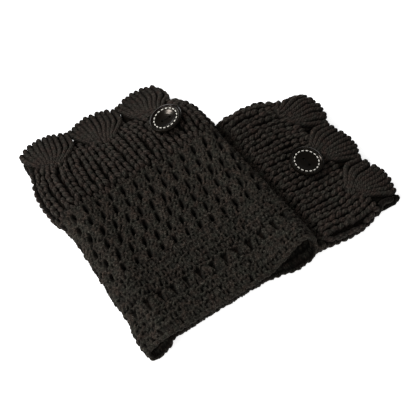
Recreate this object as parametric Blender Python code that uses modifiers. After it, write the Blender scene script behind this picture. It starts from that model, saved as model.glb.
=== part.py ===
"""Pair of crochet leg warmers: two short knitted tubes, laid flat and stacked crosswise.

Each tube has a plaited band with six scallop fans, an openwork body and a hem border, and
one round button.  The rear tube lies flat on the ground; the front tube lies across it and
drapes down to the ground at its left side and at its fans.
All sizes below are in millimetres, and one factor turns them into metres.
"""
import math

import bpy
import bmesh
import numpy as np
from mathutils import Matrix, Vector

MM = 0.001

# ---------------------------------------------------------------- driving dimensions
HEM_TOP = 57.0            # seam between hem border and openwork
BAND_BASE = 127.0         # seam between openwork and plaited band
FAN_BASE = 174.0          # line where the fans are gathered
FAN_VALLEY = 198.5        # dip between two fans
FAN_TIP = 204.5           # crown of a fan, the whole length of a tube
FANS = 6                  # fans round a tube
SEAM_GAP = 0.3            # air between two pieces
WALL = {"hem": 4.2, "tube": 4.0, "band": 5.0}
LAYER_GAP = 1.0           # air between the two layers where they lie on each other
FOLD_REACH = 34.0         # how far the roundness of a fold runs into the flat
REST_HEIGHT = 9.6         # height of the front tube's underside where it lies on the rear one
FAN_CROWN = 1.6           # how far a fan swells above the layer

BUTTON_DIAMETER = 27.0
BUTTON_HEIGHT = 4.2
BUTTON_HOLE = 2.2
BUTTON_HOLE_SPACING = 6.4
BUTTON_CLEARANCE = 0.8
BUTTON_STEPS = 60

# The pair's box is centred on the origin: offset of the front tube's hem centre.
PAIR_X, PAIR_Y = -41.25, -99.35
REAR_X, REAR_Y = -45.5, 73.1          # rear hem centre, seen from the front hem centre
REAR_TURN = math.radians(-90.9)       # turn of the rear tube's axis

# Outline of each tube, one row for each section along it.
#   y: distance from the hem   left, right: outer edges   r_left, r_right: fold radii
FRONT_SECTIONS = (
    #   y     left   right  r_left r_right
    (0.0,   -75.0,   70.8,   4.0,   6.8),
    (14.0,  -75.2,   72.0,   4.0,   6.5),
    (28.0,  -72.8,   72.0,   4.0,   6.0),
    (50.0,  -72.9,   71.6,   4.2,   5.6),
    (78.0,  -72.0,   70.9,   4.2,   5.5),
    (103.0, -71.2,   70.0,   4.3,   5.7),
    (120.0, -72.9,   69.6,   4.5,   6.2),
    (129.0, -76.0,   70.4,   4.7,   6.8),
    (147.0, -77.0,   70.0,   4.8,   7.2),
    (160.0, -75.4,   69.0,   4.8,   7.0),
    (169.0, -72.6,   66.0,   4.6,   6.4),
    (178.0, -70.2,   61.6,   4.2,   5.2),
    (190.0, -70.6,   63.2,   4.0,   4.4),
    (206.0, -68.4,   60.6,   3.6,   3.8),
)
REAR_SECTIONS = (
    #   y     left   right  r_left r_right
    (0.0,   -71.5,   71.5,   2.6,   2.6),
    (60.0,  -70.5,   71.0,   2.5,   2.5),
    (104.0, -69.0,   71.0,   2.5,   2.5),
    (118.0, -67.6,   72.4,   2.6,   2.6),
    (129.0, -68.4,   73.8,   4.4,   4.2),
    (140.0, -69.0,   75.4,   4.8,   4.6),
    (150.0, -68.8,   76.2,   4.9,   4.7),
    (159.0, -67.4,   76.2,   4.9,   4.7),
    (168.0, -63.6,   74.2,   4.7,   4.5),
    (176.0, -58.8,   71.4,   4.3,   4.2),
    (184.0, -56.6,   70.2,   4.0,   4.0),
    (194.0, -57.0,   71.4,   3.8,   3.8),
    (206.0, -51.5,   67.6,   3.6,   3.6),
)

# How the free hem edge wanders: x, shift of the upper edge, shift of the lower edge.
FRONT_HEM_EDGE = (
    (-80.0, 0.6, -1.5),
    (-70.0, 1.6, -3.4),
    (-60.0, 1.2, -3.0),
    (-53.0, 0.2, -0.4),
    (20.0,  0.0, -0.2),
    (34.0,  1.0, -2.6),
    (46.0,  3.0, -5.6),
    (60.0,  5.4, -5.2),
    (70.0,  4.6, -3.4),
    (80.0,  3.5, -2.0),
)
REAR_HEM_EDGE = (
    (-80.0, 0.0, 0.0),
    (80.0,  0.0, 0.0),
)

# Buttons: place on the tube (x, y) and the way the face looks, in the pair's frame.
FRONT_BUTTON = {"x": 40.8, "y": 152.7, "face": (-0.301, 0.191, 0.934), "spin": -13.0}
REAR_BUTTON = {"x": 7.3, "y": 156.4, "face": (0.076, -0.087, 0.993), "spin": 95.0}


# ---------------------------------------------------------------- small helpers
def ease(s):
    s = np.clip(s, 0.0, 1.0)
    return s * s * (3.0 - 2.0 * s)


def table(rows, key, column):
    """Smooth curve through one column of a table, flat beyond its ends."""
    xs = np.array([r[0] for r in rows], float)
    ys = np.array([r[column] for r in rows], float)
    slope = np.zeros_like(ys)
    if len(xs) > 2:
        slope[1:-1] = (ys[2:] - ys[:-2]) / (xs[2:] - xs[:-2])
    k = np.clip(np.asarray(key, float), xs[0], xs[-1])
    i = np.clip(np.searchsorted(xs, k, side="right") - 1, 0, len(xs) - 2)
    w = xs[i + 1] - xs[i]
    s = (k - xs[i]) / w
    return ((2 * s ** 3 - 3 * s ** 2 + 1) * ys[i] + (s ** 3 - 2 * s ** 2 + s) * w * slope[i]
            + (-2 * s ** 3 + 3 * s ** 2) * ys[i + 1] + (s ** 3 - s ** 2) * w * slope[i + 1])


def front_support(x, y):
    """Height that the front tube's underside lies at: the rear tube, or the ground."""
    return REST_HEIGHT * ease((x + 71.0) / 18.5) * (1.0 - ease((y - 141.0) / 50.0))


def rear_support(x, y):
    return np.zeros_like(np.asarray(x, float) + y)


# fan_turn: share of the way round by which the fans are turned on the tube
# fan_lean: above 1 the crown of a fan lies past its middle, below 1 before it
CUFFS = {
    "front": {"sections": FRONT_SECTIONS, "hem_edge": FRONT_HEM_EDGE, "fan_turn": 0.0,
              "fan_lean": 1.0,
              "support": front_support, "origin": (0.0, 0.0), "turn": 0.0},
    "rear": {"sections": REAR_SECTIONS, "hem_edge": REAR_HEM_EDGE, "fan_turn": -0.022,
             "fan_lean": 1.35,
             "support": rear_support, "origin": (REAR_X, REAR_Y), "turn": REAR_TURN},
}


def wall_at(y):
    return WALL["hem"] if y < HEM_TOP else WALL["tube"] if y < BAND_BASE else WALL["band"]


def section(cuff, y, wall, count=160):
    """Closed middle line of the flattened tube at one y: x, z, normal and share of top.

    It starts at the left fold, runs over the upper layer to the right fold and comes back
    along the lower layer."""
    rows = cuff["sections"]
    left, right, r_left, r_right = (float(table(rows, y, c)) for c in (1, 2, 3, 4))
    half = (wall + LAYER_GAP) / 2.0
    r_left, r_right = max(r_left, half), max(r_right, half)
    x_left = left + wall / 2.0 + r_left
    x_right = right - wall / 2.0 - r_right
    x = np.linspace(x_left, x_right, count)
    h = (half
         + (r_left - half) * 0.5 * (1 + np.cos(np.pi * np.clip((x - x_left) / FOLD_REACH, 0, 1)))
         + (r_right - half) * 0.5 * (1 + np.cos(np.pi * np.clip((x_right - x) / FOLD_REACH, 0, 1))))
    m = cuff["support"](x, y) + wall / 2.0 + h
    slope = np.gradient(m, x)
    n = np.stack([-slope, np.ones_like(slope)], 1)
    n /= np.linalg.norm(n, axis=1)[:, None]
    mid = np.stack([x, m], 1)
    arc = np.linspace(0.0, np.pi / 2, 14)[1:-1]

    def fold(centre, normal, radius, side, angles):
        """Points round a fold: angle 0 is straight up the normal, 90 degrees the tip."""
        t = np.array([normal[1], -normal[0]]) * side
        d = np.cos(angles)[:, None] * normal + np.sin(angles)[:, None] * t
        return centre + radius * d, d

    tip_l, dir_l = fold(mid[0], n[0], r_left, -1.0, np.array([np.pi / 2]))
    tip_r, dir_r = fold(mid[-1], n[-1], r_right, 1.0, np.array([np.pi / 2]))
    up_l, nup_l = fold(mid[0], n[0], r_left, -1.0, arc[::-1])
    up_r, nup_r = fold(mid[-1], n[-1], r_right, 1.0, arc)
    lo_r, nlo_r = fold(mid[-1], n[-1], r_right, 1.0, np.pi - arc[::-1])
    lo_l, nlo_l = fold(mid[0], n[0], r_left, -1.0, np.pi - arc)
    points = np.concatenate([tip_l, up_l, mid + n * h[:, None], up_r, tip_r,
                             lo_r, (mid - n * h[:, None])[::-1], lo_l])
    normals = np.concatenate([dir_l, nup_l, n, nup_r, dir_r, nlo_r, -n[::-1], nlo_l])
    top = np.concatenate([[0.5], 0.5 + 0.5 * np.cos(arc[::-1]), np.ones(count),
                          0.5 + 0.5 * np.cos(arc), [0.5],
                          0.5 - 0.5 * np.cos(arc[::-1]), np.zeros(count),
                          0.5 - 0.5 * np.cos(arc)])
    return points, normals, top


def ring(cuff, y, wall, shares):
    """The section read at the given shares of its length, 0 at the left fold's tip and
    0.5 at the right fold's tip."""
    p, n, top = section(cuff, y, wall)
    closed = np.vstack([p, p[:1]])
    run = np.concatenate([[0.0], np.cumsum(np.linalg.norm(np.diff(closed, axis=0), axis=1))])
    half = 1 + 12 + 160 + 12                       # index of the right fold's tip
    share = np.concatenate([0.5 * run[:half + 1] / run[half],
                            0.5 + 0.5 * (run[half + 1:] - run[half]) / (run[-1] - run[half])])
    read = lambda v: np.interp(shares, share, np.append(v, v[:1]))
    nx, nz = read(n[:, 0]), read(n[:, 1])
    size = np.hypot(nx, nz)
    return read(p[:, 0]), read(p[:, 1]), nx / size, nz / size, read(top)


def fan_wave(cuff, shares):
    """0 at a valley between two fans, 1 at a fan's crown."""
    phase = np.mod(FANS * (shares - cuff["fan_turn"]), 1.0)
    return np.sin(np.pi * phase ** cuff["fan_lean"])


def place(cuff, x, y, z):
    """From a tube's own frame to the pair's frame, in metres."""
    c, s = math.cos(cuff["turn"]), math.sin(cuff["turn"])
    ox, oy = cuff["origin"]
    return np.stack([(PAIR_X + ox + x * c - y * s) * MM,
                     (PAIR_Y + oy + x * s + y * c) * MM, z * MM], -1)


# shares of the tube's length round: close together at both folds
FOLD_COLUMNS = (0.0, 0.008, 0.018, 0.032, 0.052)
FLAT_COLUMNS = 14


def column_shares():
    quarter = list(FOLD_COLUMNS)
    step = (0.5 - 2 * FOLD_COLUMNS[-1]) / FLAT_COLUMNS
    middle = [FOLD_COLUMNS[-1] + step * k for k in range(1, FLAT_COLUMNS)]
    half = quarter + middle + [0.5 - q for q in reversed(quarter[1:])]
    return np.array(half + [0.5 + h for h in half])


PIECES = {
    # piece: rows along the tube, as y or as shares between its two ends
    "hem": (0.0, 6.0, 16.0, 36.0, HEM_TOP - SEAM_GAP / 2),
    "tube": (HEM_TOP + SEAM_GAP / 2, 74.0, 92.0, 110.0, BAND_BASE - SEAM_GAP / 2),
    "band": (BAND_BASE + SEAM_GAP / 2, 136.0, 147.0, 158.0, 167.0, FAN_BASE, 182.0, 190.0, 200.0),
}


def cloth_rows(cuff, piece):
    """Outer and inner rows of points of one piece's wall, in metres."""
    shares = column_shares()
    outer, inner = [], []
    wall = WALL[piece]
    rows = PIECES[piece]
    for i, row in enumerate(rows):
        x, z, nx, nz, top = ring(cuff, row, wall, shares)
        y = np.full_like(x, row)
        t = np.full_like(x, wall)
        if piece == "hem":
            shift = (top * table(cuff["hem_edge"], x, 1)
                     + (1 - top) * table(cuff["hem_edge"], x, 2))
            y = row + shift * max(0.0, 1.0 - row / HEM_TOP) ** 2
        if piece == "band" and row > FAN_BASE:
            wave = fan_wave(cuff, shares)
            edge = FAN_VALLEY + (FAN_TIP - FAN_VALLEY) * wave ** 0.7
            y = FAN_BASE + (edge - FAN_BASE) * (row - FAN_BASE) / (rows[-1] - FAN_BASE)
            lift = FAN_CROWN * wave ** 2 * ease((row - FAN_BASE) / 14.0) * top
            x, z = x + nx * lift, z + nz * lift
            t = t - 0.6 * ease((row - FAN_BASE) / 26.0)
        outer.append(place(cuff, x + nx * t / 2, y, z + nz * t / 2))
        inner.append(place(cuff, x - nx * t / 2, y, z - nz * t / 2))
    return outer, inner


# ---------------------------------------------------------------- scene set-up
for old in list(bpy.data.objects):
    bpy.data.objects.remove(old, do_unlink=True)

pair = bpy.data.collections.new("crochet_leg_warmers")
bpy.context.scene.collection.children.link(pair)
cutters = bpy.data.collections.new("cutters")
bpy.context.scene.collection.children.link(cutters)


def material(name, colour, roughness, metallic=0.0):
    m = bpy.data.materials.new(name)
    m.use_nodes = True
    bsdf = m.node_tree.nodes["Principled BSDF"]
    bsdf.inputs["Base Color"].default_value = (*colour, 1.0)
    bsdf.inputs["Roughness"].default_value = roughness
    bsdf.inputs["Metallic"].default_value = metallic
    m.diffuse_color = (*colour, 1.0)
    return m


YARN_BAND = material("charcoal_yarn_band", (0.030, 0.028, 0.026), 0.95)
YARN_TUBE = material("charcoal_yarn_openwork", (0.028, 0.026, 0.024), 0.95)
YARN_HEM = material("charcoal_yarn_hem", (0.027, 0.025, 0.023), 0.95)
BUTTON_BLACK = material("black_button", (0.010, 0.009, 0.008), 0.18)


def loft_wall(name, outer, inner, mat):
    """A closed wall from rows of an outer and an inner ring, joined at both ends."""
    bm = bmesh.new()
    out = [[bm.verts.new(Vector(p)) for p in row] for row in outer]
    inn = [[bm.verts.new(Vector(p)) for p in row] for row in inner]
    count = len(out[0])
    for a, b in zip(out[:-1], out[1:]):
        for k in range(count):
            j = (k + 1) % count
            bm.faces.new((a[k], b[k], b[j], a[j]))
    for a, b in zip(inn[:-1], inn[1:]):
        for k in range(count):
            j = (k + 1) % count
            bm.faces.new((a[k], a[j], b[j], b[k]))
    for rim_out, rim_in, first in ((out[0], inn[0], True), (out[-1], inn[-1], False)):
        for k in range(count):
            j = (k + 1) % count
            if first:
                bm.faces.new((rim_out[k], rim_out[j], rim_in[j], rim_in[k]))
            else:
                bm.faces.new((rim_out[k], rim_in[k], rim_in[j], rim_out[j]))
    bmesh.ops.recalc_face_normals(bm, faces=bm.faces)
    bmesh.ops.triangulate(bm, faces=bm.faces)
    mesh = bpy.data.meshes.new(name)
    bm.to_mesh(mesh)
    bm.free()
    mesh.materials.append(mat)
    mesh.shade_smooth()
    ob = bpy.data.objects.new(name, mesh)
    pair.objects.link(ob)
    mesh.set_sharp_from_angle(angle=math.radians(50))
    return ob


# ---------------------------------------------------------------- buttons
def button_profile():
    """Half section of the button: dished face, stitched ledge, raised rim, flat back."""
    r = BUTTON_DIAMETER / 2
    h = BUTTON_HEIGHT
    return ((0.0, h - 2.35), (3.0, h - 2.28), (5.0, h - 2.02), (6.8, h - 1.55), (8.2, h - 1.08),
            (r - 2.4, h - 0.6), (r - 1.7, h - 0.05), (r - 1.0, h), (r - 0.35, h - 0.35), (r, h - 1.1),
            (r - 0.1, h - 2.0), (r - 1.3, 0.5), (r - 2.6, 0.0), (0.0, 0.0))


def seat(cuff, x, y, face):
    """Lowest place of a disc on the upper layer, clear of the band by the clearance."""
    shares = np.linspace(0.0, 0.5, 260)
    pts = []
    for yy in np.linspace(y - 14.5, y + 14.5, 30):
        wall = wall_at(yy)
        px, pz, nx, nz, top = ring(cuff, yy, wall, shares)
        pts.append(place(cuff, px + nx * wall / 2, np.full_like(px, yy), pz + nz * wall / 2))
    pts = np.concatenate(pts)
    centre = place(cuff, np.array(x), np.array(y), np.array(0.0))
    n = np.array(face) / np.linalg.norm(face)
    best = -1.0
    # slide the disc down the vertical through its centre until it meets the band
    for p in pts:
        height = (p - centre) @ n / n[2]
        foot = centre + np.array([0, 0, height])
        if np.linalg.norm(p - foot) <= (BUTTON_DIAMETER / 2 + 0.6) * MM:
            best = max(best, height)
    return Vector(centre) + Vector((0, 0, best + BUTTON_CLEARANCE * MM / n[2]))


def make_button(name, cuff, spec):
    face = Vector(spec["face"]).normalized()
    side = Vector((1, 0, 0)).cross(face).cross(face).normalized() * -1.0
    up = face.cross(side)
    frame = Matrix((side, up, face)).transposed().to_4x4()
    place_at = Matrix.Translation(seat(cuff, spec["x"], spec["y"], spec["face"])) @ frame
    place_at = place_at @ Matrix.Rotation(math.radians(spec["spin"]), 4, "Z")

    profile = bpy.data.meshes.new(name)
    points = [(px * MM, 0.0, pz * MM) for px, pz in button_profile()]
    profile.from_pydata(points, [(k, k + 1) for k in range(len(points) - 1)], [])
    profile.materials.append(BUTTON_BLACK)
    ob = bpy.data.objects.new(name, profile)
    pair.objects.link(ob)
    ob.matrix_world = place_at
    screw = ob.modifiers.new("turn", "SCREW")
    screw.steps = screw.render_steps = BUTTON_STEPS
    screw.use_merge_vertices = True
    screw.merge_threshold = 0.00005
    screw.use_smooth_shade = True
    for k, sign in enumerate((-1, 1)):
        bm = bmesh.new()
        bmesh.ops.create_cone(bm, cap_ends=True, segments=12, radius1=BUTTON_HOLE / 2 * MM,
                              radius2=BUTTON_HOLE / 2 * MM, depth=3 * BUTTON_HEIGHT * MM)
        mesh = bpy.data.meshes.new(f"{name}_hole_{k}")
        bm.to_mesh(mesh)
        bm.free()
        cutter = bpy.data.objects.new(f"{name}_hole_{k}", mesh)
        cutters.objects.link(cutter)
        cutter.matrix_world = place_at @ Matrix.Translation(
            (sign * BUTTON_HOLE_SPACING / 2 * MM, 0, BUTTON_HEIGHT / 2 * MM))
        cutter.hide_render = True
        cutter.display_type = "WIRE"
        cut = ob.modifiers.new(f"hole_{k}", "BOOLEAN")
        cut.operation = "DIFFERENCE"
        cut.object = cutter
        cut.solver = "EXACT"
    return ob


# ---------------------------------------------------------------- build
for side, cuff in CUFFS.items():
    for piece, suffix, mat in (("hem", "hem_border", YARN_HEM),
                               ("tube", "openwork_tube", YARN_TUBE),
                               ("band", "cable_band", YARN_BAND)):
        loft_wall(f"{side}_{suffix}", *cloth_rows(cuff, piece), mat)

make_button("front_button", CUFFS["front"], FRONT_BUTTON)
make_button("rear_button", CUFFS["rear"], REAR_BUTTON)
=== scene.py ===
import math
import bpy
import numpy as np
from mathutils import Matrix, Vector

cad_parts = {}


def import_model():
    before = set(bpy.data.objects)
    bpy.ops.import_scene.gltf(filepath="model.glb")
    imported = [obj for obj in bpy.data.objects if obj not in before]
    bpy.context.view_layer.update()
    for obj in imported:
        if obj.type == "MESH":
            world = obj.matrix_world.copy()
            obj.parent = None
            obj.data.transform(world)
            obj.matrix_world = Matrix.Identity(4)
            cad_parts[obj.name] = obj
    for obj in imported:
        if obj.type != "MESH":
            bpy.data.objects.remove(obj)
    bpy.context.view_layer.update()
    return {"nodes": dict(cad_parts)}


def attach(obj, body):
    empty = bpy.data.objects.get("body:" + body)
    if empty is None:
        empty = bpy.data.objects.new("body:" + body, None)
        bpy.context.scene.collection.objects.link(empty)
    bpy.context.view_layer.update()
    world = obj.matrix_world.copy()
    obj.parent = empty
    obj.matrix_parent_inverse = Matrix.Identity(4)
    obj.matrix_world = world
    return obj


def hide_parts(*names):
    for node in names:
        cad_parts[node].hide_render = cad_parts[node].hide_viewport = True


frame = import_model()

MM = 0.001
RNG = np.random.default_rng(11)

# ------------------------------------------------------------------ shape of the tubes
# The same sections as the solids', in millimetres, in each tube's own frame:
# y runs from the hem to the fans, a share of 0 is the left fold and 0.5 the right fold.
HEM_TOP, BAND_BASE, FAN_BASE = 57.0, 127.0, 174.0
FAN_VALLEY, FAN_TIP, FANS = 198.5, 204.5, 6
WALL_HEM, WALL_TUBE, WALL_BAND = 4.2, 4.0, 5.0
LAYER_GAP, FOLD_REACH, REST_HEIGHT, FAN_CROWN = 1.0, 34.0, 9.6, 1.6
PAIR_X, PAIR_Y = -41.25, -99.35
REAR_X, REAR_Y = -45.5, 73.1
REAR_TURN = math.radians(-90.9)

FRONT_SECTIONS = (
    #   y     left   right  r_left r_right
    (0.0,   -75.0,   70.8,   4.0,   6.8),
    (14.0,  -75.2,   72.0,   4.0,   6.5),
    (28.0,  -72.8,   72.0,   4.0,   6.0),
    (50.0,  -72.9,   71.6,   4.2,   5.6),
    (78.0,  -72.0,   70.9,   4.2,   5.5),
    (103.0, -71.2,   70.0,   4.3,   5.7),
    (120.0, -72.9,   69.6,   4.5,   6.2),
    (129.0, -76.0,   70.4,   4.7,   6.8),
    (147.0, -77.0,   70.0,   4.8,   7.2),
    (160.0, -75.4,   69.0,   4.8,   7.0),
    (169.0, -72.6,   66.0,   4.6,   6.4),
    (178.0, -70.2,   61.6,   4.2,   5.2),
    (190.0, -70.6,   63.2,   4.0,   4.4),
    (206.0, -68.4,   60.6,   3.6,   3.8),
)
REAR_SECTIONS = (
    #   y     left   right  r_left r_right
    (0.0,   -71.5,   71.5,   2.6,   2.6),
    (60.0,  -70.5,   71.0,   2.5,   2.5),
    (104.0, -69.0,   71.0,   2.5,   2.5),
    (118.0, -67.6,   72.4,   2.6,   2.6),
    (129.0, -68.4,   73.8,   4.4,   4.2),
    (140.0, -69.0,   75.4,   4.8,   4.6),
    (150.0, -68.8,   76.2,   4.9,   4.7),
    (159.0, -67.4,   76.2,   4.9,   4.7),
    (168.0, -63.6,   74.2,   4.7,   4.5),
    (176.0, -58.8,   71.4,   4.3,   4.2),
    (184.0, -56.6,   70.2,   4.0,   4.0),
    (194.0, -57.0,   71.4,   3.8,   3.8),
    (206.0, -51.5,   67.6,   3.6,   3.6),
)
FRONT_HEM_EDGE = (
    #   x    upper  lower edge's shift
    (-80.0, 0.6, -1.5),
    (-70.0, 1.6, -3.4),
    (-60.0, 1.2, -3.0),
    (-53.0, 0.2, -0.4),
    (20.0,  0.0, -0.2),
    (34.0,  1.0, -2.6),
    (46.0,  3.0, -5.6),
    (60.0,  5.4, -5.2),
    (70.0,  4.6, -3.4),
    (80.0,  3.5, -2.0),
)
REAR_HEM_EDGE = ((-80.0, 0.0, 0.0), (80.0, 0.0, 0.0))


def ease(s):
    s = np.clip(s, 0.0, 1.0)
    return s * s * (3.0 - 2.0 * s)


def table(rows, key, column):
    xs = np.array([r[0] for r in rows], float)
    ys = np.array([r[column] for r in rows], float)
    slope = np.zeros_like(ys)
    if len(xs) > 2:
        slope[1:-1] = (ys[2:] - ys[:-2]) / (xs[2:] - xs[:-2])
    k = np.clip(np.asarray(key, float), xs[0], xs[-1])
    i = np.clip(np.searchsorted(xs, k, side="right") - 1, 0, len(xs) - 2)
    w = xs[i + 1] - xs[i]
    s = (k - xs[i]) / w
    return ((2 * s ** 3 - 3 * s ** 2 + 1) * ys[i] + (s ** 3 - 2 * s ** 2 + s) * w * slope[i]
            + (-2 * s ** 3 + 3 * s ** 2) * ys[i + 1] + (s ** 3 - s ** 2) * w * slope[i + 1])


def front_support(x, y):
    return REST_HEIGHT * ease((x + 71.0) / 18.5) * (1.0 - ease((y - 141.0) / 50.0))


def rear_support(x, y):
    return np.zeros_like(np.asarray(x, float) + y)


def wall_at(y):
    """Wall thickness along the tube, with soft steps at the two seams."""
    return (WALL_HEM + (WALL_TUBE - WALL_HEM) * ease((y - HEM_TOP + 3) / 6)
            + (WALL_BAND - WALL_TUBE) * ease((y - BAND_BASE + 4) / 8)
            - 0.6 * ease((y - FAN_BASE) / 26.0))


def section(cuff, y, wall, count=160):
    rows = cuff["sections"]
    left, right, r_left, r_right = (float(table(rows, y, c)) for c in (1, 2, 3, 4))
    half = (wall + LAYER_GAP) / 2.0
    r_left, r_right = max(r_left, half), max(r_right, half)
    x_left = left + wall / 2.0 + r_left
    x_right = right - wall / 2.0 - r_right
    x = np.linspace(x_left, x_right, count)
    h = (half
         + (r_left - half) * 0.5 * (1 + np.cos(np.pi * np.clip((x - x_left) / FOLD_REACH, 0, 1)))
         + (r_right - half) * 0.5 * (1 + np.cos(np.pi * np.clip((x_right - x) / FOLD_REACH, 0, 1))))
    m = cuff["support"](x, y) + wall / 2.0 + h
    slope = np.gradient(m, x)
    n = np.stack([-slope, np.ones_like(slope)], 1)
    n /= np.linalg.norm(n, axis=1)[:, None]
    mid = np.stack([x, m], 1)
    arc = np.linspace(0.0, np.pi / 2, 14)[1:-1]

    def fold(centre, normal, radius, side, angles):
        t = np.array([normal[1], -normal[0]]) * side
        d = np.cos(angles)[:, None] * normal + np.sin(angles)[:, None] * t
        return centre + radius * d, d

    tip_l, dir_l = fold(mid[0], n[0], r_left, -1.0, np.array([np.pi / 2]))
    tip_r, dir_r = fold(mid[-1], n[-1], r_right, 1.0, np.array([np.pi / 2]))
    up_l, nup_l = fold(mid[0], n[0], r_left, -1.0, arc[::-1])
    up_r, nup_r = fold(mid[-1], n[-1], r_right, 1.0, arc)
    lo_r, nlo_r = fold(mid[-1], n[-1], r_right, 1.0, np.pi - arc[::-1])
    lo_l, nlo_l = fold(mid[0], n[0], r_left, -1.0, np.pi - arc)
    points = np.concatenate([tip_l, up_l, mid + n * h[:, None], up_r, tip_r,
                             lo_r, (mid - n * h[:, None])[::-1], lo_l])
    normals = np.concatenate([dir_l, nup_l, n, nup_r, dir_r, nlo_r, -n[::-1], nlo_l])
    top = np.concatenate([[0.5], 0.5 + 0.5 * np.cos(arc[::-1]), np.ones(count),
                          0.5 + 0.5 * np.cos(arc), [0.5],
                          0.5 - 0.5 * np.cos(arc[::-1]), np.zeros(count),
                          0.5 - 0.5 * np.cos(arc)])
    return points, normals, top


def ring(cuff, y, wall, shares):
    p, n, top = section(cuff, y, wall)
    closed = np.vstack([p, p[:1]])
    run = np.concatenate([[0.0], np.cumsum(np.linalg.norm(np.diff(closed, axis=0), axis=1))])
    half = 1 + 12 + 160 + 12
    share = np.concatenate([0.5 * run[:half + 1] / run[half],
                            0.5 + 0.5 * (run[half + 1:] - run[half]) / (run[-1] - run[half])])
    read = lambda v: np.interp(shares, share, np.append(v, v[:1]))
    nx, nz = read(n[:, 0]), read(n[:, 1])
    size = np.hypot(nx, nz)
    return read(p[:, 0]), read(p[:, 1]), nx / size, nz / size, read(top), run[-1]


CUFFS = {
    "front": {"sections": FRONT_SECTIONS, "hem_edge": FRONT_HEM_EDGE, "fan_turn": 0.0,
              "fan_lean": 1.0, "support": front_support, "origin": (0.0, 0.0), "turn": 0.0,
              "hand": 1.0},
    "rear": {"sections": REAR_SECTIONS, "hem_edge": REAR_HEM_EDGE, "fan_turn": -0.022,
             "fan_lean": 1.35, "support": rear_support, "origin": (REAR_X, REAR_Y),
             "turn": REAR_TURN, "hand": -1.0},
}


def fan_wave(cuff, shares):
    phase = np.mod(FANS * (shares - cuff["fan_turn"]), 1.0)
    return np.sin(np.pi * phase ** cuff["fan_lean"])


def fan_edge(cuff, shares):
    return FAN_VALLEY + (FAN_TIP - FAN_VALLEY) * fan_wave(cuff, shares) ** 0.7


class Cloth:
    """Middle surface of one tube, read at any share round it, y along it and height off it."""
    STEP, Y0, COUNT, ROUND = 1.5, -9.0, 149, 512

    def __init__(self, cuff):
        self.cuff = cuff
        shares = np.arange(self.ROUND) / self.ROUND
        rows, self.length = [], []
        for i in range(self.COUNT):
            y = self.Y0 + self.STEP * i
            yc = min(max(y, 0.0), 206.0)
            x, z, nx, nz, top, length = ring(cuff, yc, float(wall_at(yc)), shares)
            shift = top * table(cuff["hem_edge"], x, 1) + (1 - top) * table(cuff["hem_edge"], x, 2)
            yy = y + shift * max(0.0, 1.0 - max(y, 0.0) / HEM_TOP) ** 2
            lift = FAN_CROWN * fan_wave(cuff, shares) ** 2 * ease((yc - FAN_BASE) / 14.0) * top
            rows.append(np.stack([x + nx * lift, yy, z + nz * lift, nx, nz], -1))
            self.length.append(length)
        self.grid = np.array(rows)
        self.length = np.array(self.length)
        c, s = math.cos(cuff["turn"]), math.sin(cuff["turn"])
        self.c, self.s = c, s
        self.ox, self.oy = cuff["origin"]

    def round_length(self, y):
        return np.interp(y, self.Y0 + self.STEP * np.arange(self.COUNT), self.length)

    def at(self, share, y, h):
        """Point in the pair's frame, in metres."""
        share, y, h = np.broadcast_arrays(share, y, h)
        fy = np.clip((y - self.Y0) / self.STEP, 0, self.COUNT - 1.001)
        iy = fy.astype(int)
        ty = (fy - iy)[..., None]
        fs = np.mod(share, 1.0) * self.ROUND
        i0 = fs.astype(int) % self.ROUND
        i1 = (i0 + 1) % self.ROUND
        ts = (fs - np.floor(fs))[..., None]
        g = self.grid
        v = ((g[iy, i0] * (1 - ts) + g[iy, i1] * ts) * (1 - ty)
             + (g[iy + 1, i0] * (1 - ts) + g[iy + 1, i1] * ts) * ty)
        nx, nz = v[..., 3], v[..., 4]
        size = np.maximum(np.hypot(nx, nz), 1e-6)
        x = v[..., 0] + nx / size * h
        z = v[..., 2] + nz / size * h
        yy = v[..., 1]
        return np.stack([(PAIR_X + self.ox + x * self.c - yy * self.s) * MM,
                         (PAIR_Y + self.oy + x * self.s + yy * self.c) * MM, z * MM], -1)


CLOTH = {side: Cloth(cuff) for side, cuff in CUFFS.items()}


# ------------------------------------------------------------------ yarn
def smooth_path(points, count):
    """Catmull-Rom curve through control points, read at an even count of places."""
    p = np.asarray(points, float)
    p = np.vstack([2 * p[0] - p[1], p, 2 * p[-1] - p[-2]])
    t = np.linspace(0, len(p) - 3 - 1e-6, count)
    i = t.astype(int)
    f = (t - i)[:, None]
    a, b, c, d = p[i], p[i + 1], p[i + 2], p[i + 3]
    return 0.5 * ((2 * b) + (-a + c) * f + (2 * a - 5 * b + 4 * c - d) * f ** 2
                  + (-a + 3 * b - 3 * c + d) * f ** 3)


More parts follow.
